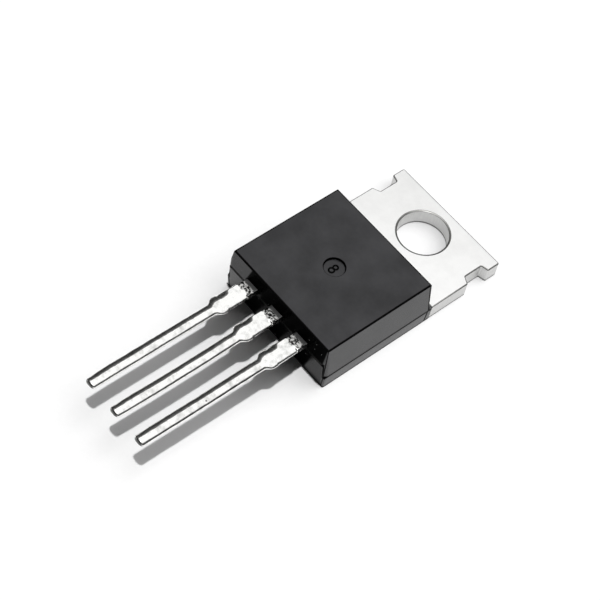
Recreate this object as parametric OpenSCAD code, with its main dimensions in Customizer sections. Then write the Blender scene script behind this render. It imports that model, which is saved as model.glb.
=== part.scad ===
// Insulated-gate bipolar transistor in a three-lead, single-hole power package.
// Frame: the origin is the mounting hole's centre on the back plane. The tab ends
// towards +Y, the leads run towards -Y and the moulding's top face is towards +Z.

/* [Tab and pad] */
// Thickness of the tab and of the pad that carries the chip
tab_t = 1.3; // [1.1:0.05:1.4]
// Width of the tab
tab_w = 10; // [9.7:0.05:10.2]
// Distance from the hole's centre to the tab's end
tab_end = 2.65; // [2.5:0.05:3]
// Distance from the hole's centre to the moulding
hole_to_body = 3.68; // [3.3:0.02:4]
// Diameter of the mounting hole
hole_d = 3.7; // [3.4:0.05:3.8]
// Width of the broken edge at the top of the hole
hole_break = 0.05; // [0.02:0.01:0.1]
// Radius of the tab's outer corners
tab_corner_r = 0.12; // [0.05:0.01:0.3]
// Width of the pad where it shows on the back
pad_w = 8; // [7.6:0.1:8.4]
// Length of the pad where it shows on the back
pad_len = 6.3; // [6:0.1:6.6]
// Radius of the pad's corners
pad_corner_r = 0.3; // [0.1:0.05:0.6]
// Overhang of the pad's upper part, which locks it into the moulding
lock_step = 0.35; // [0.2:0.05:0.45]
// Height at which that overhang starts
lock_z = 0.6; // [0.45:0.05:0.75]
// Depth of the locking groove across the pad
groove_d = 0.2; // [0.1:0.05:0.3]
// Distance from the moulding's edge to the middle of that groove
groove_inset = 0.75; // [0.6:0.05:0.9]

/* [Tab notches] */
// Depth of the notch in each side of the tab
notch_d = 0.56; // [0.4:0.02:0.7]
// Length of each notch's floor
notch_len = 1.53; // [1.2:0.01:1.8]
// Distance from the notch's floor to the tab's end
notch_to_end = 1.2; // [1:0.05:1.4]
// Slope of the notch's wall on the side of the moulding
notch_flare_in = 0.27; // [0.1:0.01:0.5]
// Slope of the notch's wall on the side of the tab's end
notch_flare_out = 0.15; // [0.05:0.01:0.25]
// Radius of the notch's corners
notch_r = 0.1; // [0.05:0.01:0.12]

/* [Moulding] */
// Width of the moulding at its side parting line
body_w = 10.2; // [10:0.05:10.6]
// Length of the moulding from its parting line at the leads to the tab
body_len = 9.78; // [9.5:0.02:10.2]
// Height from the back plane to the top face
body_h = 4.2; // [4.1:0.05:4.7]
// Draft of the side walls above their parting line, in degrees
side_draft_upper = 5.4; // [3:0.1:6]
// Draft of the side walls below their parting line, in degrees
side_draft_lower = 2.2; // [1:0.1:4]
// Draft of the lead-side wall above its parting line, in degrees
front_draft_upper = 9.2; // [6:0.2:12]
// Draft of the lead-side wall below its parting line, in degrees
front_draft_lower = 5.6; // [4:0.2:8]
// Draft of the wall that stands on the tab, in degrees
back_draft = 3; // [2:0.2:6]
// Depth of the fillet where that wall meets the tab
ledge_d = 0.42; // [0.2:0.02:0.46]
// Height of that fillet
ledge_h = 0.68; // [0.4:0.02:0.8]
// Height of the upright lip under that fillet
lip_h = 0.1; // [0.05:0.01:0.2]
// Step between the two halves of the mould, along the parting line
parting_step = 0.04; // [0.02:0.01:0.06]
// Half width at which the raised parting line starts to fall, across the leads
ramp_top_x = 4.84; // [4.4:0.02:4.88]
// Half width at which it has fallen to the side parting line
ramp_foot_x = 4.94; // [4.9:0.02:4.98]
// Radius of the upper half's upright corners beside the leads
body_corner_r = 0.6; // [0.3:0.05:0.7]
// Radius of the top face's edges
body_edge_r = 0.1; // [0.05:0.01:0.15]
// Diameter of the ejector pin's mark in the top face
pin_mark_d = 1.5; // [1:0.1:2]
// Depth of that mark
pin_mark_depth = 0.08; // [0.04:0.01:0.15]
// Distance from the hole's centre to the middle of that mark
pin_mark_from_hole = 8.61; // [8:0.05:9]

/* [Leads] */
// Distance between neighbouring leads
lead_pitch = 2.54; // [2.44:0.02:2.64]
// Thickness of the leads
lead_t = 0.5; // [0.4:0.02:0.55]
// Height of the leads' lower faces above the back plane
lead_z = 2.65; // [2.4:0.05:2.75]
// Width of the leads' free ends
lead_w = 0.8; // [0.6:0.02:0.9]
// Width of the leads next to the moulding
lead_root_w = 1.32; // [1.1:0.02:1.4]
// Length of the wide part outside the moulding
lead_root_len = 2.82; // [2.2:0.02:3.8]
// Length of the leads outside the moulding
lead_len = 13; // [12:0.1:14.5]
// Length of the taper between the wide and the narrow part
shoulder_len = 0.46; // [0.2:0.02:0.8]
// Chamfer of the leads' tips
tip_chamfer = 0.12; // [0.05:0.01:0.2]
// Height that the sheared tie bar leaves on each side of a lead
tie_stub_h = 0.06; // [0.03:0.01:0.1]
// Length of that remainder along the lead
tie_stub_len = 0.5; // [0.3:0.05:0.7]

/* [Inside the moulding] */
// Width of the bond post on each outer lead
post_w = 2.6; // [2.3:0.05:2.8]
// Length of a bond post
post_len = 1.4; // [1.3:0.05:1.5]
// Distance from the lead-side wall to the bond posts
post_inset = 0.6; // [0.5:0.05:0.7]
// Sideways offset of a bond post from its lead
post_shift = 0.36; // [0.2:0.02:0.4]
// Diameter of the locking hole in each bond post
post_hole_d = 0.4; // [0.3:0.02:0.46]
// Distance from the post's outer edge to that hole's centre
post_hole_inset = 0.35; // [0.3:0.05:0.4]
// Width of the centre lead's bend
bend_w = 1.6; // [1.3:0.05:1.8]
// Run of the bend's slope between the pad and the lead
bend_run = 1.1; // [0.9:0.05:1.3]
// Length of the chip
chip_l = 4.4; // [4:0.1:4.8]
// Width of the chip
chip_w = 4.6; // [4.2:0.1:5]
// Thickness of the chip
chip_t = 0.22; // [0.15:0.01:0.3]
// Distance from the hole's centre to the chip's centre
chip_from_hole = 7.3; // [7.1:0.05:7.45]
// Thickness of the solder under the chip
solder_t = 0.06; // [0.04:0.01:0.1]
// Width of the solder's edge round the chip
solder_margin = 0.12; // [0.06:0.02:0.2]

/* [Bond wires] */
// Diameter of the emitter wires
emitter_wire_d = 0.38; // [0.3:0.02:0.4]
// Distance between the two emitter wires
emitter_wire_pitch = 1.1; // [0.9:0.05:1.2]
// Distance from the chip's middle line to the middle of the emitter wires
emitter_foot_x = 1; // [0.8:0.05:1.2]
// Distance from the chip's lead-side edge to the emitter wires' feet
emitter_foot_inset = 1.5; // [1:0.1:2]
// Diameter of the gate wire
gate_wire_d = 0.16; // [0.12:0.01:0.2]
// Distance from the chip's edges to the gate wire's foot
gate_foot_inset = 0.45; // [0.3:0.05:0.6]
// Rise of a wire's loop over the line between its feet
loop_rise = 0.75; // [0.6:0.05:0.85]
// Length of a wire's flattened foot, in wire diameters
foot_len_ratio = 2.2; // [1.8:0.1:2.4]
// Width of that foot, in wire diameters
foot_w_ratio = 1.3; // [1.1:0.05:1.4]
// Height of that foot, in wire diameters
foot_h_ratio = 0.7; // [0.6:0.05:0.8]
// Distance from a foot's end to the edge of its bond post
foot_margin = 0.1; // [0.05:0.01:0.15]

/* [Hidden] */
$fn = 48;
arc_steps = 5;
over = 1;
body_back = -hole_to_body;
body_front = body_back - body_len;
wall_back = body_back - ledge_d;
top_back = wall_back - (body_h - tab_t - ledge_h) * tan(back_draft);
top_front = body_front + (body_h - lead_z) * tan(front_draft_upper);
bottom_front = body_front + parting_step + lead_z * tan(front_draft_lower);
side_x = body_w / 2;
top_x = side_x - (body_h - tab_t) * tan(side_draft_upper);
bottom_x = side_x - parting_step - tab_t * tan(side_draft_lower);
lead_top = lead_z + lead_t;
shoulder_y = body_front - lead_root_len;
tip_y = body_front - lead_len;
pad_front = body_back - pad_len;
post_front = body_front + post_inset;
post_back = post_front + post_len;
post_x = lead_pitch + post_shift;
chip_front = -chip_from_hole - chip_l / 2;
chip_z = tab_t + solder_t;
chip_top = chip_z + chip_t;
gate_foot_x = gate_foot_inset - chip_w / 2;

function unit(v) = v / norm(v);

// Where post_foot_y puts the middle of a foot, for a wire of diameter d
function post_foot_y(d) = post_back - foot_margin - foot_len_ratio * d / 2;

// Points of the arc of radius r that rounds corner c between p and q
function corner(p, c, q, r) =
    let (
        u = unit(p - c), v = unit(q - c), half = acos(u * v) / 2, turn = 180 - 2 * half,
        o = c + unit(u + v) * r / sin(half),
        s = c + u * r / tan(half) - o, e = c + v * r / tan(half) - o
    )
    [for (i = [0:arc_steps], a = turn * i / arc_steps) o + (s * sin(turn - a) + e * sin(a)) / sin(turn)];

// A closed path of [x, y, radius] points as an outline with rounded corners
function rounded(path) =
    let (k = len(path), xy = [for (p = path) [p.x, p.y]])
    [
        for (i = [0:k - 1]) let (last = xy[(i + k - 1) % k], next = xy[(i + 1) % k])
            each path[i].z == 0 ? [xy[i]] : corner(last, xy[i], next, path[i].z)
    ];

// The right-hand side of an outline, from low to high, and its mirror image
function mirrored(side) = concat(side, [for (i = [len(side) - 1:-1:0]) [-side[i].x, side[i].y, side[i].z]]);

// Extrudes a side view, drawn as [Y, Z], across the package
module across(width) {
    rotate([90, 0, 90]) translate([0, 0, -width / 2]) linear_extrude(width) children();
}

// Extrudes an end view, drawn as [X, Z], from one Y to another
module along(from, to) {
    translate([0, to, 0]) rotate([90, 0, 0]) linear_extrude(to - from) children();
}

// ---- Moulding: two drafted halves that meet at a stepped parting line ----

// The upper half's outline at the parting line, with its upright corners beside the leads
module parting_outline() {
    linear_extrude(body_h * 3, center = true) polygon(rounded(mirrored([
        [side_x, body_front, body_corner_r],
        [side_x, body_back, 0]
    ])));
}

module upper_half() {
    intersection() {
        across(body_w + over) polygon(rounded([
            [body_front, tab_t, 0],
            [body_front, lead_z, 0],
            [top_front, body_h, body_edge_r],
            [top_back, body_h, body_edge_r],
            [wall_back, tab_t + ledge_h, body_edge_r],
            [body_back, tab_t + lip_h, 0],
            [body_back, tab_t, 0]
        ]));
        along(body_front - over, body_back + over) polygon(rounded(mirrored([
            [side_x, tab_t, 0],
            [top_x, body_h, body_edge_r]
        ])));
        parting_outline();
    }
}

module lower_half() {
    inner_y = post_front;
    intersection() {
        across(body_w + over) polygon([
            [bottom_front, 0],
            [body_back, 0],
            [body_back, tab_t],
            [inner_y, tab_t],
            [inner_y, lead_z],
            [body_front + parting_step, lead_z]
        ]);
        along(body_front - over, body_back + over) polygon(rounded(mirrored([
            [bottom_x, 0, 0],
            [side_x - parting_step, tab_t, 0],
            [ramp_foot_x, tab_t, 0],
            [ramp_top_x, lead_z, 0]
        ])));
    }
}

// The lower half's share of the lead-side wall, cut away from the upper half
module front_window() {
    intersection() {
        across(body_w + over) polygon([
            [body_front - over, 0],
            [bottom_front, 0],
            [body_front + parting_step, lead_z],
            [body_front - over, lead_z]
        ]);
        along(body_front - over, body_back) polygon(rounded(mirrored([
            [ramp_foot_x, 0, 0],
            [ramp_foot_x, tab_t, 0],
            [ramp_top_x, lead_z, 0]
        ])));
    }
}

module moulded_body() {
    color("dimgray") difference() {
        union() {
            difference() {
                upper_half();
                front_window();
            }
            lower_half();
        }
        translate([0, -pin_mark_from_hole, body_h - pin_mark_depth]) cylinder(d = pin_mark_d, h = over);
        collector_frame();
        gate_lead();
        emitter_lead();
        die_attach_solder();
        igbt_die();
        emitter_wire_1();
        emitter_wire_2();
        gate_wire();
    }
}

// ---- Leads and frame, stamped from one strip of two thicknesses ----

// The outside of one lead, with the remains of the tie bar at its shoulders
module lead_outside(root_y) {
    wide = lead_root_w / 2;
    thin = lead_w / 2;
    stub = wide + tie_stub_h;
    translate([0, 0, lead_z]) linear_extrude(lead_t) polygon(rounded(mirrored([
        [thin - tip_chamfer, tip_y, 0],
        [thin, tip_y + tip_chamfer, 0],
        [thin, shoulder_y - shoulder_len, 0],
        [wide, shoulder_y, 0],
        [stub, shoulder_y, 0],
        [stub, shoulder_y + tie_stub_len, 0],
        [wide, shoulder_y + tie_stub_len, 0],
        [wide, root_y, 0]
    ])));
}

// An outer lead, whose bond post lies away from the centre lead
module outer_lead(side) {
    difference() {
        union() {
            translate([side * lead_pitch, 0, 0]) lead_outside(post_front + post_len / 2);
            translate([side * post_x - post_w / 2, post_front, lead_z]) cube([post_w, post_len, lead_t]);
        }
        translate([side * post_x, post_front + post_hole_inset, lead_z - over])
            cylinder(d = post_hole_d, h = lead_t + 2 * over);
    }
}

module gate_lead() {
    color("silver") outer_lead(-1);
}

module emitter_lead() {
    color("silver") outer_lead(1);
}

module tab_plate() {
    floor_x = tab_w / 2 - notch_d;
    floor_out = tab_end - notch_to_end;
    floor_in = floor_out - notch_len;
    linear_extrude(tab_t) polygon(rounded(mirrored([
        [tab_w / 2, body_back, 0],
        [tab_w / 2, floor_in - notch_flare_in, notch_r],
        [floor_x, floor_in, notch_r],
        [floor_x, floor_out, notch_r],
        [tab_w / 2, floor_out + notch_flare_out, notch_r],
        [tab_w / 2, tab_end, tab_corner_r]
    ])));
}

// One layer of the pad, from z up to top and wider than pad_w by grow on each side
module pad_layer(z, top, grow) {
    translate([0, 0, z]) linear_extrude(top - z) polygon(rounded(mirrored([
        [pad_w / 2 + grow, pad_front - grow, pad_corner_r],
        [pad_w / 2 + grow, body_back + notch_r, 0]
    ])));
}

// The slope that lifts the centre lead from the pad to the leads' height
module lead_bend() {
    foot = pad_front - lock_step;
    across(bend_w) polygon([
        [foot + lead_t, tab_t - lead_t],
        [foot + lead_t, tab_t],
        [foot, tab_t],
        [foot - bend_run, lead_top],
        [post_front, lead_top],
        [post_front, lead_z],
        [foot - bend_run - lead_t / 4, lead_z],
        [foot - lead_t / 4, tab_t - lead_t]
    ]);
}

module locking_groove() {
    translate([0, body_back - groove_inset, tab_t]) across(tab_w) polygon([
        [0, -groove_d],
        [groove_d + over, over],
        [-groove_d - over, over]
    ]);
}

module collector_frame() {
    color("gainsboro") difference() {
        union() {
            tab_plate();
            pad_layer(0, lock_z, 0);
            pad_layer(lock_z, tab_t, lock_step);
            lead_bend();
            lead_outside(post_front + over / 2);
        }
        translate([0, 0, -over]) cylinder(d = hole_d, h = tab_t + 2 * over);
        translate([0, 0, tab_t - hole_break])
            cylinder(d1 = hole_d, d2 = hole_d + 4 * hole_break, h = 2 * hole_break);
        locking_groove();
    }
}

// ---- Chip and its wires ----

// A plate of the chip's outline, wider by margin, that lies on height z
module chip_plate(z, thickness, margin) {
    translate([-chip_w / 2 - margin, chip_front - margin, z])
        cube([chip_w + 2 * margin, chip_l + 2 * margin, thickness]);
}

module die_attach_solder() {
    color("lightgray") chip_plate(tab_t, solder_t, solder_margin);
}

module igbt_die() {
    color("slategray") chip_plate(chip_z, chip_t, 0);
}

// A bond wire of diameter d: a flattened foot at each end and one round arc
module bond_wire(start, end, d) {
    run = end - start;
    heading = atan2(run.y, run.x);
    chord = norm(run);
    climb = asin(run.z / chord);
    radius = (chord * chord / 4 + loop_rise * loop_rise) / (2 * loop_rise);
    half = asin(chord / 2 / radius);
    translate(start + [0, 0, d / 2]) rotate([90, 0, heading]) rotate(climb)
        translate([chord / 2, loop_rise - radius]) rotate(90 - half)
            rotate_extrude(angle = 2 * half) translate([radius, 0]) circle(d = d);
    foot = [foot_len_ratio, foot_w_ratio, foot_h_ratio] * d;
    for (place = [start, end])
        translate(place) rotate(heading) translate([-foot.x / 2, -foot.y / 2, 0]) cube(foot);
}

module emitter_wire(side) {
    x = side * emitter_wire_pitch / 2;
    bond_wire(
        [emitter_foot_x + x, chip_front + emitter_foot_inset, chip_top],
        [post_x + x, post_foot_y(emitter_wire_d), lead_top],
        emitter_wire_d
    );
}

module emitter_wire_1() {
    color("lightgray") emitter_wire(-1);
}

module emitter_wire_2() {
    color("lightgray") emitter_wire(1);
}

module gate_wire() {
    color("lightgray") bond_wire(
        [gate_foot_x, chip_front + gate_foot_inset, chip_top],
        [-post_x, post_foot_y(gate_wire_d), lead_top],
        gate_wire_d
    );
}

moulded_body();
collector_frame();
gate_lead();
emitter_lead();
die_attach_solder();
igbt_die();
emitter_wire_1();
emitter_wire_2();
gate_wire();
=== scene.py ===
"""A power transistor on a pale table: finishes, rounded edges, dipped leads, studio light and camera."""
import math

import bmesh
import bpy
from mathutils import Matrix, Vector


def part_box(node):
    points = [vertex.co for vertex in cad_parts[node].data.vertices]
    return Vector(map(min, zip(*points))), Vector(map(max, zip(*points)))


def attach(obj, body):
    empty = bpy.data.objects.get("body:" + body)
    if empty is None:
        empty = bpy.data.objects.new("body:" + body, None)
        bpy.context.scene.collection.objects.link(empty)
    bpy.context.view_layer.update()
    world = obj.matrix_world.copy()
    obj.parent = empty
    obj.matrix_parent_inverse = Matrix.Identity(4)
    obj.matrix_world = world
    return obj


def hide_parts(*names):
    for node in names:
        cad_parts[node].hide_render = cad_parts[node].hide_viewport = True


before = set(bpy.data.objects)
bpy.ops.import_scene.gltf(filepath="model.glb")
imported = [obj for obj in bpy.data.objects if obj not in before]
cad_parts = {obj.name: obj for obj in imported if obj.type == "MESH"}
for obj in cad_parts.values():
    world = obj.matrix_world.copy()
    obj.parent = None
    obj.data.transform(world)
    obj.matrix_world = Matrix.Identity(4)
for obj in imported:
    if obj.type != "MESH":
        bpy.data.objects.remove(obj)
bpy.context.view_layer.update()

MM = 0.001
# Points closer than this, in metres, are one point
WELD_DISTANCE = 1e-4 * MM
# Faces that turn by less than this are one flat face
FLAT_ANGLE = math.radians(0.5)

# ---- Sizes in millimetres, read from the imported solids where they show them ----

body_low, body_high = (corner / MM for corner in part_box("moulded_body"))
lead_low, lead_high = (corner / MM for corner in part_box("gate_lead"))
SIDE_X = body_high.x
FRONT_Y = body_low.y
BACK_Y = body_high.y
TOP_Z = body_high.z
TAB_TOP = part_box("die_attach_solder")[0].z / MM
LEAD_Z = lead_low.z
LEAD_MID_Z = (lead_low.z + lead_high.z) / 2
TIP_Y = (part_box("collector_frame")[0] / MM).y

# ---- The moulding, in millimetres ----

# Drafts of its walls, as run over rise
SIDE_DRAFT_UPPER = math.tan(math.radians(5.4))
SIDE_DRAFT_LOWER = math.tan(math.radians(2.2))
FRONT_DRAFT_UPPER = math.tan(math.radians(9.2))
FRONT_DRAFT_LOWER = math.tan(math.radians(5.6))
BACK_DRAFT = math.tan(math.radians(3))
# Depth and height of the fillet where it stands on the tab, and the height of the upright lip below that
LEDGE_D = 0.42
LEDGE_H = 0.68
LIP_H = 0.1
# By how much the lower half stands back at the parting line
PARTING_STEP = 0.04
CORNER_R = 0.6
TOP_EDGE_R = 0.09
BOTTOM_EDGE_R = 0.04
# Height of the near-black line painted along the walls' foot, painted shade where they meet the table
BOTTOM_LINE = 0.12
# Width of the narrow ring beside a rounded edge, which keeps the flat face beyond it flat
EDGE_HOLD = 0.02
# Faces of a rounded edge, and of the smaller ones round the pin mark
EDGE_STEPS = 5
PIN_RIM_STEPS = 3
# Its edges sharper than this many degrees stay sharp
MOULDING_SHARP = 28

# The ejector pin's mark, and the digit on its floor: its rings' middles and radii, the height and half width
# of its stroke, and the steps round a ring and round the stroke
PIN_MARK_Y = -8.61
PIN_MARK_R = 0.75
PIN_MARK_D = 0.18
PIN_RIM_R = 0.04
DIGIT_RINGS = [(-0.24, 0.19), (0.12, 0.17)]
DIGIT_H = 0.08
DIGIT_STROKE = 0.06
DIGIT_STEPS = 40
DIGIT_SIDES = 8

# Steps along a side wall and an end wall
SIDE_STEPS = 12
FRONT_STEPS = 12
# Degrees from an end wall's normal at which a corner has a point, and between which its parting line falls
CORNER_TURNS = [0, 8, 16, 24, 29, 32, 35, 38, 41, 43, 44, 45, 46, 47, 49, 53, 58, 66, 74, 82, 90]
RAMP_TURNS = (32, 38)
# Half the width, in degrees, of the near-black line painted down each upright corner as painted shade
CORNER_LINE = 4
# How crisply two walls meet: a high power gives a small radius
CRISPNESS = 22
# The seam's section: rise over the parting line, inset, whether the upper half's walls hold, and the degrees
# by which it is wider where the parting line falls at a corner
SEAM_PROFILE = [
    (-0.16, 0, False, -3), (-0.02, 0.01, False, 0), (0, 0.05, True, 0),
    (0.03, 0.02, True, 2), (0.07, 0.004, True, 4), (0.14, 0, True, 6), (0.16, 0, True, 6),
]
# Shares of the wall above the seam at which the upper half has a ring, close together at the tab's fillet
WALL_SHARES = [0.03, 0.06, 0.09, 0.12, 0.15, 0.175, 0.2, 0.6, 1]

# The black patch round the leads is painted shade, standing for the lead-side wall's dark reflection of
# the leads and their shadows. At each of its ends along X: where it starts and where it is full, and its
# share beyond the start, below the seam and above it
PATCH_ENDS = [(-4.02, -3.88, 0.0, 0.0), (3.14, 3.0, 0.75, 1.0)]
# How far its ends lean towards +X for each millimetre up
PATCH_LEAN = 0.25
# Distances over which it fades: above the seam, behind the lead-side wall's foot and from the near side wall
PATCH_SEAM = 0.05
PATCH_DEPTH = (0.35, 0.33)
PATCH_CORNER = (0.3, 0.36)

# ---- The tab and the leads, in millimetres ----

TAB_EDGE_R = 0.08
TAB_EDGE_STEPS = 4
# The tab's edges are rounded up to this depth in the moulding's back wall
TAB_SEAT = 0.2
# How exactly such an edge lies at its height, and the degrees that it turns by at least
TAB_LEVEL = 0.01
TAB_SHARP = 30
# Upright part of the normal above which a face is rolled, and below which it is sheared
ROLLED_LEAST = 0.995
SHEARED_MOST = 0.1
# Edges of tab and leads sharper than this many degrees stay sharp
FRAME_SHARP = 30
# How the tear lines of the sheared faces are stretched upright
TEAR_STRETCH = (1, 1, 0.15)
# The heights between which those faces turn into their dark foot, painted shade where they meet the table
FOOT_SHADE = (0.2, 0.1)

LEAD_PITCH = 2.54
# Lengths of the wide root outside the moulding, of its shoulder, and of the part that isn't dipped
WIDE_LENGTH = 2.82
SHOULDER_LENGTH = 0.46
BARE_LENGTH = 0.72
# Where the lofted lead begins, inside the moulding, and its steps round and along
LEAD_ROOT_Y = FRONT_Y + 0.3
LEAD_ROUND = 88
LEAD_RINGS = 420
# By how much the trimmed, bare root is narrower than the wide part on each side
BARE_TRIM = 0.03
# The sheared tie bar's stub beside the shoulder, and how abruptly it rises
TIE_STUB_LENGTH = 0.5
TIE_STUB_H = 0.05
TIE_STUB_POWER = 4.0
# Length of the rounded cut end, and the exponent of its outline
TIP_ROUND = 0.24
TIP_POWER = 2.2
# Exponents of the section's superellipse: 2 is an ellipse, and a high one is nearly a rectangle
BARE_POWER = 16.0
LEFT_POWER = 12.0
RIGHT_POWER = 1.8
# Half the length over which the bare section turns into the dipped one, and half the share of the width over
# which its left side turns into its right side
DIP_BLEND = 0.1
SIDE_BLEND = 0.2
# Width over which the solder sags to one side, the share of the rest of the half width at which that begins,
# the most that it takes of the half thickness, and between which distances from the dip line it grows
SAG_WIDTH = 0.4
SAG_START = 0.75
SAG_MOST = 0.94
SAG_GROWTH = (-0.6, -1.15)
# How sag and spread change near the tip: two distances from it, and the share of the full value at each
SAG_AT_TIP = (1.6, 0.1, 1.0, 1.15)
SPREAD_AT_TIP = (1.2, 0.2, 1.0, 0.85)
# Lump size, and its height on the bare root and on the solder
LUMPS = [(1.6, 0.0, 0.05), (0.45, 0.008, 0.016)]
# How far the dip line wanders and how soft it is, each to both sides
DIP_WANDER = 0.35
DIP_EDGE = 0.06
# Distances from the moulding over which the root's plating turns stained, and from the tip over which the
# solder turns into the dark cut end
ROOT_STAIN = (0.26, 0.16)
CUT_END = (0.14, 0.06)
LEAD_INPUTS = {
    "Lead X": 0.0,
    "Lead Z": LEAD_MID_Z,
    "Root Y": LEAD_ROOT_Y,
    "Tip Y": TIP_Y,
    "Shoulder Y": FRONT_Y - WIDE_LENGTH,
    "Shoulder Length": SHOULDER_LENGTH,
    "Dip Y": FRONT_Y - BARE_LENGTH,
    "Wide Half": 0.6,
    "Thin Half": 0.37,
    "Half Thickness": 0.245,
    "Side Coat": 0.035,
    "Face Coat": 0.01,
    "Sag": 0.17,
    "Spread": 0.095,
    "Bow": 0.0,
    "Tip Shift": 0.0,
    "Seed": 0.0,
}
# Name, CAD node, finish slot, and what its lead's inputs differ in
LEADS = [
    ("dipped_gate_lead", "gate_lead", "solder_dip", {
        "Lead X": -LEAD_PITCH - 0.01, "Bow": -0.01, "Tip Shift": -0.03, "Seed": 3.0,
    }),
    ("tinned_collector_frame", "collector_frame", "tinned_copper", {
        "Lead X": 0.0, "Bow": 0.07, "Tip Shift": -0.05, "Seed": 8.0,
    }),
    ("dipped_emitter_lead", "emitter_lead", "solder_dip", {
        "Lead X": LEAD_PITCH, "Bow": 0.01, "Tip Shift": -0.06, "Seed": 14.0,
    }),
]

# ---- Table, light and camera ----

# The table and the cards, in metres; the cards grow paler above this share of their height
TABLE_SIZE = 4.0
CARD_DISTANCE = 0.15
CARD_RISE = math.radians(44)
CARD_SIDES = 64
CARD_DARK_SHARE = 0.4
# Each lamp's share of a white table's light, the width of its disc, and the way to it
KEY_SHARE = 0.65
KEY_ANGLE = math.radians(3)
KEY_FROM = (0.066, -0.06, 1)
FILL_SHARE = 0.48
FILL_ANGLE = math.radians(60)
FILL_FROM = (0.26, 0.62, 1)
SKY_SHARE = 0.045
# The camera, in millimetres and degrees
CAMERA_TARGET = (-0.742, -10.471, 1.0)
CAMERA_DISTANCE = 116.55
CAMERA_AZIMUTH = 40.476
CAMERA_ELEVATION = 55.244
CAMERA_ROLL = 11.951
CAMERA_LENS = 104.7
CAMERA_SENSOR = 36
CAMERA_CLIP = 1


# ---- Nodes ----

def linear(hex_colour):
    """The linear RGBA of an sRGB hex colour such as "#2b2b2d"."""
    parts = [int(hex_colour[i:i + 2], 16) / 255 for i in (1, 3, 5)]
    return tuple(p / 12.92 if p <= 0.04045 else ((p + 0.055) / 1.055) ** 2.4 for p in parts) + (1.0,)


def add(tree, kind, inputs=None, output=0, **settings):
    """Adds one node with its settings; inputs are links or values by socket. Returns one of its outputs."""
    node = tree.nodes.new(kind)
    for name, value in settings.items():
        setattr(node, name, value)
    for key, value in (inputs or {}).items():
        if isinstance(value, bpy.types.NodeSocket):
            tree.links.new(value, node.inputs[key])
        else:
            node.inputs[key].default_value = value
    return None if output is None else node.outputs[output]


def remap(tree, value, start=0.0, stop=1.0, low=0.0, high=1.0, way="LINEAR"):
    """Carries a value from the span start to stop over to the span low to high, and holds it beyond."""
    return add(tree, "ShaderNodeMapRange", {
        "Value": value, "From Min": start, "From Max": stop, "To Min": low, "To Max": high,
    }, interpolation_type=way)


def blend(tree, share, first, second):
    """A colour between two, each of which is a link or an sRGB hex colour."""
    first, second = (linear(end) if isinstance(end, str) else end for end in (first, second))
    return add(tree, "ShaderNodeMix", {"Factor": share, "A": first, "B": second}, output=2, data_type="RGBA")


def ramp(tree, value, start, stop, low, high):
    """A colour that turns from low to high while a value goes from start to stop."""
    colour = add(tree, "ShaderNodeValToRGB", {"Fac": value})
    ends = colour.node.color_ramp.elements
    ends[0].position, ends[1].position = start, stop
    ends[0].color, ends[1].color = linear(low), linear(high)
    return colour


def noise(tree, place, size, detail=2.0, roughness=0.5):
    """Cloudy noise whose clouds are about this many millimetres wide."""
    return add(tree, "ShaderNodeTexNoise", {
        "Vector": place, "Scale": 1 / (size * MM), "Detail": detail, "Roughness": roughness,
    })


def cells(tree, place, size):
    """Distance to the nearest of random points that lie about this many millimetres apart."""
    return add(tree, "ShaderNodeTexVoronoi", {"Vector": place, "Scale": 1 / (size * MM)})


def bumps(tree, height, strength, depth):
    """The normal of a surface with fine bumps, of a depth in millimetres."""
    return add(tree, "ShaderNodeBump", {"Height": height, "Strength": strength, "Distance": depth * MM})


def new_material(name, **uniform):
    """A material with one Principled shader, whose uniform values are set on its own sockets.

    Returns the material, its tree, a function that links outputs to the shader's sockets, and a place.
    """
    material = bpy.data.materials.new(name)
    material.use_nodes = True
    tree = material.node_tree
    sockets = tree.nodes["Principled BSDF"].inputs
    for socket, value in uniform.items():
        sockets[socket.replace("_", " ")].default_value = value

    def feed(**links):
        for socket, source in links.items():
            tree.links.new(source, sockets[socket.replace("_", " ")])

    return material, tree, feed, add(tree, "ShaderNodeTexCoord", output="Object")


# ---- Materials ----

def edge_shade_epoxy():
    """Painted shade: the moulding's edges, seam, upright corners, foot and digit, drawn near-black.

    The eye sees thin black lines that draw the outline of every face.
    """
    material, tree, feed, place = new_material(
        "epoxy edge shade", IOR=1.45, Roughness=0.4, Specular_IOR_Level=0.03,
    )
    wear = noise(tree, place, 0.8, detail=3.0)
    feed(Base_Color=blend(tree, wear, "#010101", "#070707"))
    return material


def painted_wall_shade(tree, place):
    """The share of the black patch of painted shade round the leads on the lead-side wall."""
    spot = add(tree, "ShaderNodeSeparateXYZ", {"Vector": place}).node.outputs
    lean = add(tree, "ShaderNodeMath", {0: spot["Z"], 1: -PATCH_LEAN}, operation="MULTIPLY")
    leaning = add(tree, "ShaderNodeMath", {0: spot["X"], 1: lean}, operation="ADD")
    behind, at_wall = ((FRONT_Y + depth) * MM for depth in PATCH_DEPTH)
    patch = remap(tree, spot["Y"], behind, at_wall)
    for start, stop, below, above in PATCH_ENDS:
        fade = remap(tree, leaning, start * MM, stop * MM, below, way="SMOOTHSTEP")
        upper = remap(tree, spot["Z"], LEAD_Z * MM, (LEAD_Z + PATCH_SEAM) * MM, high=above)
        fade = add(tree, "ShaderNodeMath", {0: fade, 1: upper}, operation="MAXIMUM")
        patch = add(tree, "ShaderNodeMath", {0: patch, 1: fade}, operation="MULTIPLY")
    at_corner, inside = ((SIDE_X - gap) * MM for gap in PATCH_CORNER)
    corner = remap(tree, spot["X"], at_corner, inside)
    return add(tree, "ShaderNodeMath", {0: patch, 1: corner}, operation="MULTIPLY")


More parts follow.
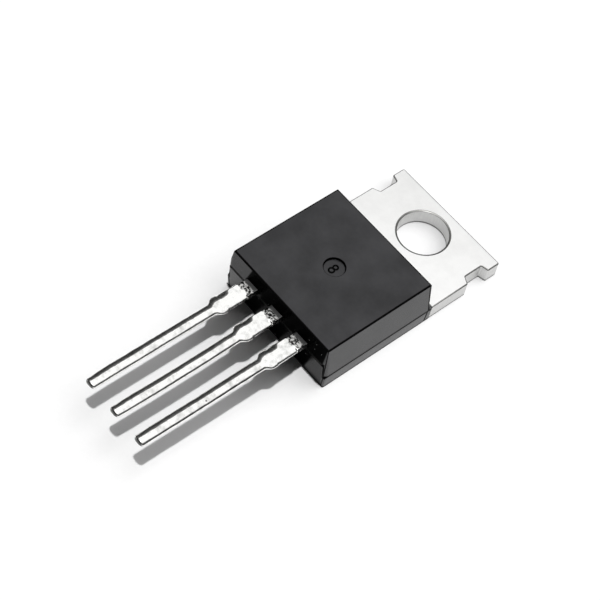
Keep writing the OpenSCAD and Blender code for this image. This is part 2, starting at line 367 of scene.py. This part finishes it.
def moulded_epoxy():
    """Black epoxy moulding compound, pressed against a finely spark-eroded mould.

    The eye sees a charcoal satin with faint flow clouds, which mirrors the table in its upright walls. The
    lead-side wall has a near-black patch round the leads, painted shade for its dark reflection of the leads
    and their shadows, with a few pale specks of flux.
    The erosion grain is 0.02 mm and too fine to show, so it is drawn at 0.06 mm.
    """
    material, tree, feed, place = new_material("moulded epoxy", IOR=1.55)
    patch = painted_wall_shade(tree, place)
    clouds = noise(tree, place, 2.6, detail=4.0, roughness=0.55)
    speck = remap(tree, cells(tree, place, 0.5), 0.1, 0.06)
    charcoal = ramp(tree, clouds, 0.35, 0.68, "#1d1d1f", "#303032")
    # Painted shade: the patch is near-black with a few pale specks, and has almost no reflection of its own
    shade_black = blend(tree, speck, "#020202", "#6a6a6a")
    feed(
        Base_Color=blend(tree, patch, charcoal, shade_black),
        Roughness=remap(tree, clouds, low=0.2, high=0.3),
        Specular_IOR_Level=remap(tree, patch, low=0.32, high=0.01),
        Normal=bumps(tree, noise(tree, place, 0.06), 0.12, 0.004),
    )
    return material


def matte_tin():
    """Matte tin plate on rolled and stamped copper.

    The eye sees a pale, even grey-white with soft blotches from handling and a few fine pits.
    """
    material, tree, feed, place = new_material("matte tin plate", Metallic=1.0)
    blotches = noise(tree, place, 1.8, detail=5.0, roughness=0.6)
    feed(
        Base_Color=ramp(tree, blotches, 0.3, 0.62, "#efefee", "#fafaf9"),
        Roughness=remap(tree, blotches, low=0.5, high=0.36),
        Normal=bumps(tree, noise(tree, place, 0.12, detail=3.0), 0.1, 0.006),
    )
    return material


def sheared_edge():
    """The stamped plate's edges and the wall of its hole: sheared copper under thin tin.

    The eye sees a greyer, duller face than the plate's top, with faint upright tear lines and a dark foot,
    painted shade where it meets the table.
    The tear lines are 0.02 mm apart and too fine to show, so they are drawn 0.12 mm apart.
    """
    material, tree, feed, place = new_material("sheared tinned edge", Metallic=1.0)
    upright = add(tree, "ShaderNodeVectorMath", {0: place, 1: TEAR_STRETCH}, operation="MULTIPLY")
    tears = noise(tree, upright, 0.12, detail=3.0)
    height = add(tree, "ShaderNodeSeparateXYZ", {"Vector": place}, output="Z")
    # The dark foot is painted shade where these faces meet the table
    foot_top, foot_full = (level * MM for level in FOOT_SHADE)
    foot = remap(tree, height, foot_top, foot_full)
    feed(
        Base_Color=blend(tree, foot, blend(tree, tears, "#c6c6c6", "#dededc"), "#747473"),
        Roughness=remap(tree, tears, low=0.4, high=0.55),
    )
    return material


def rim_shade_metal():
    """The stamped plate's rims, rolled over by the punch, drawn in darker metal as painted shade along its
    edges.

    The eye sees them as fine dark lines round the plate's top and its hole.
    """
    material, tree, feed, place = new_material("rim painted shade", Metallic=1.0, Roughness=0.45)
    feed(Base_Color=blend(tree, noise(tree, place, 0.8), "#545452", "#9a9a98"))
    return material


def dipped_solder():
    """Hot-dipped solder over the leads, with a bare, stained band of tin next to the moulding.

    The eye sees a bright, lumpy mirror, and next to the moulding a grey mottle with dark specks.
    """
    material, tree, feed, place = new_material("hot-dipped solder", Metallic=1.0)
    along = add(tree, "ShaderNodeSeparateXYZ", {"Vector": place}, output="Y")
    wander = noise(tree, place, 0.5, detail=3.0)
    shift = remap(tree, wander, low=-DIP_WANDER * MM, high=DIP_WANDER * MM)
    wavy = add(tree, "ShaderNodeMath", {0: along, 1: shift}, operation="ADD")
    dip_line = (FRONT_Y - BARE_LENGTH) * MM
    bare = remap(tree, wavy, dip_line - DIP_EDGE * MM, dip_line + DIP_EDGE * MM)

    specks = noise(tree, place, 0.16, roughness=0.6)
    stained = ramp(tree, specks, 0.47, 0.6, "#141414", "#d2d2d0")
    plated = blend(tree, specks, "#484848", "#727272")
    stain_end, stain_start = ((FRONT_Y - gap) * MM for gap in ROOT_STAIN)
    root = blend(tree, remap(tree, along, stain_end, stain_start), stained, plated)

    blotch = remap(tree, wander, 0.48, 0.75)
    pit = remap(tree, cells(tree, place, 0.9), 0.08, 0.05)
    bright = blend(tree, pit, blend(tree, blotch, "#fefefc", "#d4d4d2"), "#6e6e6c")
    cut_start, cut_full = ((TIP_Y + gap) * MM for gap in CUT_END)
    cut_end = remap(tree, along, cut_start, cut_full)
    feed(
        Base_Color=blend(tree, cut_end, blend(tree, bare, bright, root), "#565655"),
        Roughness=remap(tree, bare, low=0.12, high=0.34),
    )
    return material


def plain_finish(name, colour, metallic, roughness):
    """A finish for the pieces that are sealed in the moulding: one colour and a fine, even grain."""
    material, tree, feed, place = new_material(name, Metallic=metallic)
    grain = noise(tree, place, 0.1)
    feed(
        Base_Color=blend(tree, grain, colour, "#8a8a8c"),
        Roughness=remap(tree, grain, low=roughness, high=roughness + 0.1),
    )
    return material


# ---- Mesh helpers ----

def object_from(name, mesh_builder, *materials):
    """A new object at the origin from a bmesh, which this frees."""
    mesh = bpy.data.meshes.new(name)
    mesh_builder.to_mesh(mesh)
    mesh_builder.free()
    piece = bpy.data.objects.new(name, mesh)
    bpy.context.scene.collection.objects.link(piece)
    for material in materials:
        mesh.materials.append(material)
    return piece


def merged_copy(node):
    """A bmesh copy of a CAD node, with its loose triangles joined and its flat faces made whole."""
    copy = bmesh.new()
    copy.from_mesh(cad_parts[node].data)
    bmesh.ops.remove_doubles(copy, verts=copy.verts, dist=WELD_DISTANCE)
    bmesh.ops.dissolve_limit(copy, angle_limit=FLAT_ANGLE, verts=copy.verts, edges=copy.edges)
    bmesh.ops.recalc_face_normals(copy, faces=copy.faces)
    return copy


def finished_mesh(piece):
    """Applies a piece's modifiers, so that only a plain mesh is left."""
    graph = bpy.context.evaluated_depsgraph_get()
    graph.update()
    mesh = bpy.data.meshes.new_from_object(piece.evaluated_get(graph))
    piece.modifiers.clear()
    piece.data = mesh
    return piece


def smooth(piece, degrees):
    """Shades a piece smooth, except across edges sharper than this."""
    piece.data.shade_smooth()
    piece.data.set_sharp_from_angle(angle=math.radians(degrees))


# ---- The moulding: closed rings, one above the other ----

def parting_height(turn, end):
    """Height of the parting line: level with the leads across the front, and with the tab's top elsewhere."""
    if end > 0:
        return TAB_TOP
    start, stop = RAMP_TURNS
    fall = min(max((turn - start) / (stop - start), 0), 1)
    return LEAD_Z + (TAB_TOP - LEAD_Z) * fall


def walls(z, upper):
    """Half width, front and back of the moulding at one height, on its upper or lower half."""
    if not upper:
        half = SIDE_X - PARTING_STEP - max(TAB_TOP - z, 0) * SIDE_DRAFT_LOWER
        return half, FRONT_Y + PARTING_STEP + (LEAD_Z - z) * FRONT_DRAFT_LOWER, BACK_Y
    half = SIDE_X - (z - TAB_TOP) * SIDE_DRAFT_UPPER
    front = FRONT_Y + max(z - LEAD_Z, 0) * FRONT_DRAFT_UPPER
    rise = min(max((z - TAB_TOP - LIP_H) / (LEDGE_H - LIP_H), 0), 1)
    ledge = LEDGE_D * (1 - (1 - rise) ** 2)
    return half, front, BACK_Y - ledge - max(z - TAB_TOP - LEDGE_H, 0) * BACK_DRAFT


def corner_point(side, end, turn, height, inset, upper, shift):
    """A corner's point: on a ray from the middle of its arc to the nearer wall, or to the arc itself."""
    z = height(parting_height(turn - shift, end))
    half, front, back = walls(z, upper)
    middle_x = SIDE_X - CORNER_R
    middle_y = BACK_Y - LEDGE_D - CORNER_R if end > 0 else FRONT_Y + CORNER_R
    to_side = half - inset - middle_x
    to_end = back - inset - middle_y if end > 0 else middle_y - front - inset
    across, along = math.sin(math.radians(turn)), math.cos(math.radians(turn))
    reach = ((across / to_side) ** CRISPNESS + (along / to_end) ** CRISPNESS) ** (-1 / CRISPNESS)
    if upper and end < 0:
        reach = min(reach, CORNER_R - inset)
    return side * (middle_x + reach * across), middle_y + end * reach * along, z


def ring(height, inset, upper, shift=0):
    """One closed ring. height(parting) gives the height of a point above a given parting line."""
    def corner(side, end, turns):
        return [corner_point(side, end, turn, height, inset, upper, shift) for turn in turns]

    def between(start, stop, steps):
        shares = [step / steps for step in range(1, steps)]
        return [tuple(a + (b - a) * share for a, b in zip(start, stop)) for share in shares]

    outward, inward = CORNER_TURNS, CORNER_TURNS[::-1]
    corners = [
        corner(1, -1, outward), corner(1, 1, inward), corner(-1, 1, outward), corner(-1, -1, inward),
    ]
    points = []
    for i, steps in enumerate((SIDE_STEPS, FRONT_STEPS, SIDE_STEPS, FRONT_STEPS)):
        points += corners[i] + between(corners[i][-1], corners[(i + 1) % 4][0], steps)
    return points


def quarter_round(radius, steps=EDGE_STEPS):
    """(inset, drop) pairs of a rounded edge, from the wall to the flat face."""
    turns = [math.pi / 2 * i / steps for i in range(steps + 1)]
    return [(radius * (1 - math.cos(turn)), radius * (1 - math.sin(turn))) for turn in turns]


def circle_ring(like, radius, z):
    """A ring round the ejector pin's mark, with one point towards each point of another ring."""
    angles = [math.atan2(y - PIN_MARK_Y, x) for x, y, _ in like]
    return [(radius * math.cos(a), PIN_MARK_Y + radius * math.sin(a), z) for a in angles]


def moulding_rings():
    """The moulding's rings, from its back to the pin mark's floor.

    Returns them, the places of those on its edges, and how many of them there are up to the walls' top.
    """
    edges = []
    rings = [ring(lambda _: 0, BOTTOM_EDGE_R + EDGE_HOLD, False)]
    for inset, drop in reversed(quarter_round(BOTTOM_EDGE_R)):
        edges.append(len(rings))
        rings.append(ring(lambda _, d=drop: d, inset, False))
    rings.append(ring(lambda _: BOTTOM_EDGE_R + BOTTOM_LINE, 0, False))
    for rise, inset, upper, shift in SEAM_PROFILE:
        edges.append(len(rings))
        rings.append(ring(lambda parting, r=rise: parting + r, inset, upper, shift))
    edges.pop()
    wall_foot, _, _, wall_shift = SEAM_PROFILE[-1]
    wall_top = TOP_Z - TOP_EDGE_R - EDGE_HOLD
    for share in WALL_SHARES:
        def height(parting, s=share):
            return (parting + wall_foot) * (1 - s) + wall_top * s
        rings.append(ring(height, 0, True, wall_shift))
    walls_end = len(rings)
    for inset, drop in quarter_round(TOP_EDGE_R):
        edges.append(len(rings))
        rings.append(ring(lambda _, d=drop: TOP_Z - d, inset, True))
    flat = ring(lambda _: TOP_Z, TOP_EDGE_R + EDGE_HOLD, True)
    rings.append(flat)
    rings.append(circle_ring(flat, PIN_MARK_R + PIN_RIM_R + EDGE_HOLD, TOP_Z))
    for inset, drop in reversed(quarter_round(PIN_RIM_R, PIN_RIM_STEPS)):
        edges.append(len(rings))
        rings.append(circle_ring(flat, PIN_MARK_R + inset, TOP_Z - drop))
    for inset, drop in quarter_round(PIN_RIM_R, PIN_RIM_STEPS):
        edges.append(len(rings))
        rings.append(circle_ring(flat, PIN_MARK_R - inset, TOP_Z - PIN_MARK_D + drop))
    edges.pop()
    rings.append(circle_ring(flat, PIN_MARK_R - PIN_RIM_R - EDGE_HOLD, TOP_Z - PIN_MARK_D))
    return rings, edges, walls_end


def corner_columns():
    """The places of the upright corners' faces in every ring."""
    columns, first = [], 0
    for turns, steps in zip((CORNER_TURNS, CORNER_TURNS[::-1]) * 2, (SIDE_STEPS, FRONT_STEPS) * 2):
        for i, (turn, following) in enumerate(zip(turns, turns[1:])):
            if abs(turn - 45) <= CORNER_LINE and abs(following - 45) <= CORNER_LINE:
                columns.append(first + i)
        first += len(turns) + steps - 1
    return columns


def stacked(rings, edges, walls_end):
    """A closed bmesh through rings of equally many points, with a flat face at each end.

    The faces above the rings that edges lists, and the upright corners below the ring walls_end, get the
    second material, the near-black painted shade.
    """
    corners = corner_columns()
    builder = bmesh.new()
    layers = [[builder.verts.new(Vector(point) * MM) for point in points] for points in rings]
    for level, (below, above) in enumerate(zip(layers, layers[1:])):
        for i in range(len(below)):
            j = (i + 1) % len(below)
            face = builder.faces.new((below[i], below[j], above[j], above[i]))
            face.material_index = int(level in edges or level < walls_end and i in corners)
    builder.faces.new(reversed(layers[0]))
    builder.faces.new(layers[-1])
    return builder


def add_digit(builder):
    """Raises a plain 8, the cavity's number, on the pin mark's floor."""
    for middle_y, radius in DIGIT_RINGS:
        sections = []
        for step in range(DIGIT_STEPS):
            angle = 2 * math.pi * step / DIGIT_STEPS
            outward = Vector((math.cos(angle), math.sin(angle), 0))
            middle = Vector((0, PIN_MARK_Y + middle_y, TOP_Z - PIN_MARK_D)) + outward * radius
            section = []
            for side in range(DIGIT_SIDES):
                turn = 2 * math.pi * side / DIGIT_SIDES
                spot = middle + outward * DIGIT_STROKE * math.cos(turn)
                spot += Vector((0, 0, DIGIT_H * math.sin(turn)))
                section.append(builder.verts.new(spot * MM))
            sections.append(section)
        for here, there in zip(sections, sections[1:] + sections[:1]):
            for side in range(DIGIT_SIDES):
                other = (side + 1) % DIGIT_SIDES
                face = builder.faces.new((here[side], there[side], there[other], here[other]))
                # The digit's stroke takes the near-black painted shade
                face.material_index = 1


def moulded_package():
    """The moulding with rounded edges, hollowed by the pieces that it was moulded round."""
    piece = object_from("moulded_package", stacked(*moulding_rings()), moulded_epoxy(), edge_shade_epoxy())
    moulded_in = [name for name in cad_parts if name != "moulded_body"]
    cutters = [object_from("cutter", merged_copy(name)) for name in moulded_in]
    for cutter in cutters:
        cut = piece.modifiers.new("hollow", "BOOLEAN")
        cut.operation = "DIFFERENCE"
        cut.solver = "EXACT"
        cut.object = cutter
    finished_mesh(piece)
    for cutter in cutters:
        bpy.data.objects.remove(cutter)
    builder = bmesh.new()
    builder.from_mesh(piece.data)
    add_digit(builder)
    builder.to_mesh(piece.data)
    builder.free()
    smooth(piece, MOULDING_SHARP)
    return piece


# ---- Leads: one Geometry Nodes tree that lofts a dipped lead ----

def dipped_lead_tree(material):
    """A tree that makes one solder-dipped lead; its inputs are in millimetres.

    A grid is wrapped round the lead: its X turns round the section and its Y runs from root to tip. The
    section is a superellipse, nearly a rectangle where the lead is bare and a pillow where it is dipped.
    """
    tree = bpy.data.node_groups.new("dipped_lead", "GeometryNodeTree")
    tree.is_modifier = True
    for name, default in LEAD_INPUTS.items():
        socket = tree.interface.new_socket(name, in_out="INPUT", socket_type="NodeSocketFloat")
        socket.default_value = default
    tree.interface.new_socket("Geometry", in_out="OUTPUT", socket_type="NodeSocketGeometry")
    given = add(tree, "NodeGroupInput").node.outputs

    def maths(operation, *values):
        return add(tree, "ShaderNodeMath", dict(enumerate(values)), operation=operation)

    def fade(value, start, stop, low, high):
        return remap(tree, value, start, stop, low, high, way="SMOOTHSTEP")

    grid = add(tree, "GeometryNodeMeshGrid", {
        "Size X": 1.0, "Size Y": 1.0, "Vertices X": LEAD_ROUND + 1, "Vertices Y": LEAD_RINGS + 1,
    })
    spot = add(tree, "ShaderNodeSeparateXYZ", {"Vector": add(tree, "GeometryNodeInputPosition")}).node.outputs
    turn = maths("MULTIPLY", spot["X"], -2 * math.pi)
    share = maths("ADD", spot["Y"], 0.5)
    y = remap(tree, share, low=given["Root Y"], high=given["Tip Y"])
    from_tip = maths("SUBTRACT", y, given["Tip Y"])
    from_shoulder = maths("SUBTRACT", y, given["Shoulder Y"])
    from_dip = maths("SUBTRACT", y, given["Dip Y"])

    # Half width and half thickness along the lead
    dipped = fade(from_dip, DIP_BLEND, -DIP_BLEND, 0.0, 1.0)
    shoulder_end = maths("MULTIPLY", given["Shoulder Length"], -1.0)
    half_wide = fade(from_shoulder, 0.0, shoulder_end, given["Wide Half"], given["Thin Half"])
    half_wide = maths("ADD", half_wide, fade(dipped, 0.0, 1.0, -BARE_TRIM, given["Side Coat"]))
    stub_place = maths("SUBTRACT", from_shoulder, TIE_STUB_LENGTH / 2)
    stub_place = maths("DIVIDE", stub_place, TIE_STUB_LENGTH / 2)
    stub = maths("POWER", maths("ABSOLUTE", stub_place), TIE_STUB_POWER)
    stub = maths("EXPONENT", maths("MULTIPLY", stub, -1.0))
    half_wide = maths("ADD", half_wide, maths("MULTIPLY", stub, TIE_STUB_H))
    half_thick = maths("ADD", given["Half Thickness"], maths("MULTIPLY", dipped, given["Face Coat"]))

    # The superellipse
    across, rise = maths("COSINE", turn), maths("SINE", turn)
    dipped_power = fade(across, -SIDE_BLEND, SIDE_BLEND, LEFT_POWER, RIGHT_POWER)
    power = fade(dipped, 0.0, 1.0, BARE_POWER, dipped_power)
    norm_across, norm_rise = (maths("POWER", maths("ABSOLUTE", part), power) for part in (across, rise))
    stretch = maths("POWER", maths("ADD", norm_across, norm_rise), maths("DIVIDE", -1.0, power))
    across_share, rise_share = maths("MULTIPLY", across, stretch), maths("MULTIPLY", rise, stretch)

    # The ends draw in to a point
    near_tip = maths("MINIMUM", maths("DIVIDE", from_tip, TIP_ROUND), 1.0)
    tip_gap = maths("POWER", maths("SUBTRACT", 1.0, near_tip), TIP_POWER)
    tip_size = maths("POWER", maths("MAXIMUM", maths("SUBTRACT", 1.0, tip_gap), 0.0), 1 / TIP_POWER)
    root_size = maths("MINIMUM", maths("MULTIPLY", share, float(LEAD_RINGS)), 1.0)
    size = maths("MULTIPLY", tip_size, root_size)

    # The solder sags to the left and spreads there
    wide = maths("MULTIPLY", across_share, half_wide)
    inside = maths("MULTIPLY", maths("SUBTRACT", half_wide, SAG_WIDTH), SAG_START)
    sag_share = maths("SUBTRACT", maths("MULTIPLY", wide, -1.0), inside)
    sag_share = maths("DIVIDE", maths("MAXIMUM", sag_share, 0.0), SAG_WIDTH)
    sag_share = maths("MULTIPLY", maths("POWER", sag_share, 2.0), fade(from_dip, *SAG_GROWTH, 0.0, 1.0))
    sag = maths("MULTIPLY", maths("MULTIPLY", sag_share, given["Sag"]), fade(from_tip, *SAG_AT_TIP))
    sag = maths("MINIMUM", sag, maths("MULTIPLY", half_thick, SAG_MOST))
    sag = maths("MULTIPLY", sag, maths("MAXIMUM", rise_share, 0.0))
    spread = maths("MULTIPLY", sag_share, given["Spread"])
    spread = maths("MULTIPLY", spread, fade(from_tip, *SPREAD_AT_TIP))
    x = maths("MULTIPLY", maths("SUBTRACT", wide, spread), size)
    z = maths("MULTIPLY", maths("SUBTRACT", maths("MULTIPLY", rise_share, half_thick), sag), size)

    # Lumps push the surface out or in
    solid = add(tree, "ShaderNodeCombineXYZ", {"X": x, "Y": y, "Z": z})
    lumps = 0.0
    for lump_size, bare_height, coat_height in LUMPS:
        lump = add(tree, "ShaderNodeTexNoise", {
            "Vector": solid, "W": given["Seed"], "Scale": 1 / lump_size, "Detail": 1.0,
        }, noise_dimensions="4D")
        height = fade(dipped, 0.0, 1.0, bare_height, coat_height)
        lumps = maths("ADD", lumps, maths("MULTIPLY", maths("SUBTRACT", lump, 0.5), height))
    lumps = maths("MULTIPLY", lumps, size)

    # The thin part is bowed and its tip stands a little to one side
    thin_length = maths("SUBTRACT", given["Shoulder Y"], given["Tip Y"])
    out = maths("DIVIDE", maths("SUBTRACT", given["Shoulder Y"], y), thin_length)
    out = maths("MAXIMUM", out, 0.0)
    bow = maths("MULTIPLY", maths("SINE", maths("MULTIPLY", out, math.pi)), given["Bow"])
    bend = maths("ADD", bow, maths("MULTIPLY", out, given["Tip Shift"]))
    x = maths("ADD", maths("ADD", x, maths("MULTIPLY", lumps, across)), maths("ADD", given["Lead X"], bend))
    z = maths("ADD", maths("ADD", z, maths("MULTIPLY", lumps, rise)), given["Lead Z"])
    placed = add(tree, "ShaderNodeCombineXYZ", {"X": x, "Y": y, "Z": z})
    metres = add(tree, "ShaderNodeVectorMath", {0: placed, "Scale": MM}, operation="SCALE")
    shaped = add(tree, "GeometryNodeSetPosition", {"Geometry": grid, "Position": metres})
    closed = add(tree, "GeometryNodeMergeByDistance", {"Geometry": shaped, "Distance": WELD_DISTANCE})
    soft = add(tree, "GeometryNodeSetShadeSmooth", {"Geometry": closed})
    real = add(tree, "GeometryNodeRealizeInstances", {"Geometry": soft})
    coated = add(tree, "GeometryNodeSetMaterial", {"Geometry": real, "Material": material})
    add(tree, "NodeGroupOutput", {"Geometry": coated}, output=None)
    return tree


def dipped_lead(tree, values):
    """The outside of one lead as a plain bmesh, from just inside the moulding to its tip."""
    carrier = object_from("dipped_lead", bmesh.new())
    loft = carrier.modifiers.new("loft", "NODES")
    loft.node_group = tree
    for socket in tree.interface.items_tree:
        if socket.in_out == "INPUT" and socket.name in values:
            loft[socket.identifier] = values[socket.name]
    finished_mesh(carrier)
    lead = bmesh.new()
    lead.from_mesh(carrier.data)
    bpy.data.objects.remove(carrier)
    return lead


def cut_level_with_y(piece, y, **cut):
    """Cuts a bmesh at an upright plane across Y, in millimetres."""
    every = piece.verts[:] + piece.edges[:] + piece.faces[:]
    bmesh.ops.bisect_plane(piece, geom=every, dist=WELD_DISTANCE, plane_co=(0, y * MM, 0), **cut)


def inner_part(node):
    """The part of a frame piece in the moulding, closed by a flat face where the dipped lead begins."""
    inside = merged_copy(node)
    cut_level_with_y(inside, LEAD_ROOT_Y, plane_no=(0, -1, 0), clear_outer=True)
    rim = [edge for edge in inside.edges if edge.is_boundary]
    bmesh.ops.holes_fill(inside, edges=rim, sides=0)
    bmesh.ops.recalc_face_normals(inside, faces=inside.faces)
    return inside


def soften_tab(tab):
    """Rounds the stamped edges of the tab's top and back, outside the moulding."""
    seat_y = BACK_Y - TAB_SEAT
    cut_level_with_y(tab, seat_y, plane_no=(0, 1, 0))

    def on_rim(edge):
        start, end = (vert.co / MM for vert in edge.verts)
        level = abs(start.z - end.z) < TAB_LEVEL
        on_face = start.z < TAB_LEVEL or abs(start.z - TAB_TOP) < TAB_LEVEL
        outside = min(start.y, end.y) > seat_y - TAB_LEVEL
        return level and on_face and outside and edge.calc_face_angle(0) > math.radians(TAB_SHARP)

    rim = [edge for edge in tab.edges if on_rim(edge)]
    bmesh.ops.bevel(
        tab, geom=rim, offset=TAB_EDGE_R * MM, offset_type="OFFSET", segments=TAB_EDGE_STEPS, profile=0.5,
        affect="EDGES", clamp_overlap=False, miter_outer="ARC",
    )
    bmesh.ops.recalc_face_normals(tab, faces=tab.faces)


def framed_piece(name, node, lead, materials):
    """One frame piece: its part in the moulding and its dipped lead, as one object.

    The materials are those of its rolled faces, dipped lead, sheared edges and rolled-over rims.
    """
    builder = inner_part(node)
    if node == "collector_frame":
        soften_tab(builder)
    for face in builder.faces:
        flatness = abs(face.normal.z)
        face.material_index = 0 if flatness > ROLLED_LEAST else 2 if flatness < SHEARED_MOST else 3
    for face in lead.faces:
        face.material_index = 1
    mesh = bpy.data.meshes.new("lead")
    lead.to_mesh(mesh)
    lead.free()
    builder.from_mesh(mesh)
    piece = object_from(name, builder, *materials)
    smooth(piece, FRAME_SHARP)
    flat_faces = piece.modifiers.new("flat_faces", "WEIGHTED_NORMAL")
    flat_faces.keep_sharp = True
    return finished_mesh(piece)


# ---- Studio ----

def pale_table():
    """A pale, matte table top.

    The eye sees an even white that only the shadows mark.
    """
    builder = bmesh.new()
    bmesh.ops.create_grid(builder, x_segments=1, y_segments=1, size=TABLE_SIZE)
    material, tree, feed, place = new_material("matte white card", Roughness=0.9, Specular_IOR_Level=0.0)
    feed(Base_Color=blend(tree, noise(tree, place, 0.4), "#f9f9f9", "#fdfdfd"))
    table = object_from("table", builder, material)
    return table


def dark_cards():
    """A ring of dark cards round the table, seen only in reflections, which draws the metal's dark edges."""
    builder = bmesh.new()
    top = CARD_DISTANCE * math.tan(CARD_RISE)
    low, high = [], []
    for step in range(CARD_SIDES):
        angle = 2 * math.pi * step / CARD_SIDES
        foot = Vector((math.cos(angle), math.sin(angle), 0)) * CARD_DISTANCE
        low.append(builder.verts.new(foot))
        high.append(builder.verts.new(foot + Vector((0, 0, top))))
    for i in range(CARD_SIDES):
        j = (i + 1) % CARD_SIDES
        builder.faces.new((low[i], high[i], high[j], low[j]))
    material, tree, feed, place = new_material("dark grey card", Roughness=1.0)
    height = add(tree, "ShaderNodeSeparateXYZ", {"Vector": place}, output="Z")
    share = remap(tree, height, top * CARD_DARK_SHARE, top)
    feed(Base_Color=blend(tree, share, "#3c3c3c", "#8c8c8c"))
    cards = object_from("dark_cards", builder, material)
    cards.visible_camera = False
    cards.visible_diffuse = False
    cards.visible_shadow = False
    return cards


def overhead_lamp(name, share, angle, source):
    """A sun that lights the table with this share of white, from a disc of this angle."""
    lamp = bpy.data.lights.new(name, "SUN")
    lamp.energy = share * math.pi
    lamp.angle = angle
    lamp_object = bpy.data.objects.new(name, lamp)
    bpy.context.scene.collection.objects.link(lamp_object)
    lamp_object.rotation_euler = Vector(source).to_track_quat("Z", "Y").to_euler()
    return lamp_object


def studio_light():
    """A small overhead lamp for the shadows, a broad one behind it, and a faint even sky for the rest.

    The leads throw no light on the table, which would fill their own shadows with glare.
    """
    bpy.context.scene.cycles.caustics_reflective = False
    overhead_lamp("key", KEY_SHARE, KEY_ANGLE, KEY_FROM)
    overhead_lamp("fill", FILL_SHARE, FILL_ANGLE, FILL_FROM).visible_glossy = False

    world = bpy.data.worlds.new("studio")
    bpy.context.scene.world = world
    world.use_nodes = True
    tree = world.node_tree
    background = tree.nodes["Background"]
    path = add(tree, "ShaderNodeLightPath").node.outputs
    seen = path["Is Camera Ray"]
    for other in ("Is Glossy Ray", "Is Transmission Ray"):
        seen = add(tree, "ShaderNodeMath", {0: seen, 1: path[other]}, operation="MAXIMUM")
    background.inputs["Color"].default_value = (1, 1, 1, 1)
    tree.links.new(remap(tree, seen, low=SKY_SHARE), background.inputs["Strength"])


def studio_camera():
    """The camera, aimed from its azimuth, elevation and roll about a point of the object."""
    azimuth, elevation, roll = map(math.radians, (CAMERA_AZIMUTH, CAMERA_ELEVATION, CAMERA_ROLL))
    away = Vector((
        math.sin(azimuth) * math.cos(elevation),
        -math.cos(azimuth) * math.cos(elevation),
        math.sin(elevation),
    ))
    level = (-away).cross(Vector((0, 0, 1))).normalized()
    upright = level.cross(-away)
    right = math.cos(roll) * level + math.sin(roll) * upright
    up = math.cos(roll) * upright - math.sin(roll) * level
    lens = bpy.data.cameras.new("camera")
    lens.sensor_width = CAMERA_SENSOR
    lens.lens = CAMERA_LENS
    lens.clip_start = CAMERA_CLIP * MM
    camera = bpy.data.objects.new("camera", lens)
    bpy.context.scene.collection.objects.link(camera)
    turned = Matrix((right, up, away)).transposed().to_4x4()
    camera.matrix_world = Matrix.Translation((Vector(CAMERA_TARGET) + away * CAMERA_DISTANCE) * MM) @ turned
    bpy.context.scene.camera = camera


# ---- Making ----

def finish(piece, slot, *nodes):
    """Puts a new piece on the body and lets it stand for its CAD nodes, which it hides."""
    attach(piece, "root")
    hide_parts(*nodes)


def sealed_finishes():
    """A finish for each CAD node that stays, sealed in the moulding."""
    wire = plain_finish("drawn aluminium wire", "#d2d2d4", 1.0, 0.3)
    return {
        "igbt_die": plain_finish("metallised silicon", "#6c6e74", 0.6, 0.25),
        "die_attach_solder": plain_finish("soft solder", "#9a9a9a", 1.0, 0.45),
        "emitter_wire_1": wire,
        "emitter_wire_2": wire,
        "gate_wire": wire,
    }


def main():
    bpy.context.scene.view_settings.view_transform = "Standard"
    solder = dipped_solder()
    # The last of these finishes is the rims' painted shade
    metals = matte_tin(), solder, sheared_edge(), rim_shade_metal()
    finish(moulded_package(), "mould_compound", "moulded_body")
    tree = dipped_lead_tree(solder)
    for name, node, slot, values in LEADS:
        piece = framed_piece(name, node, dipped_lead(tree, values), metals)
        finish(piece, slot, node)
    for node, material in sealed_finishes().items():
        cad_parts[node].data.materials.clear()
        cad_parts[node].data.materials.append(material)
    pale_table()
    dark_cards()
    studio_light()
    studio_camera()


main()
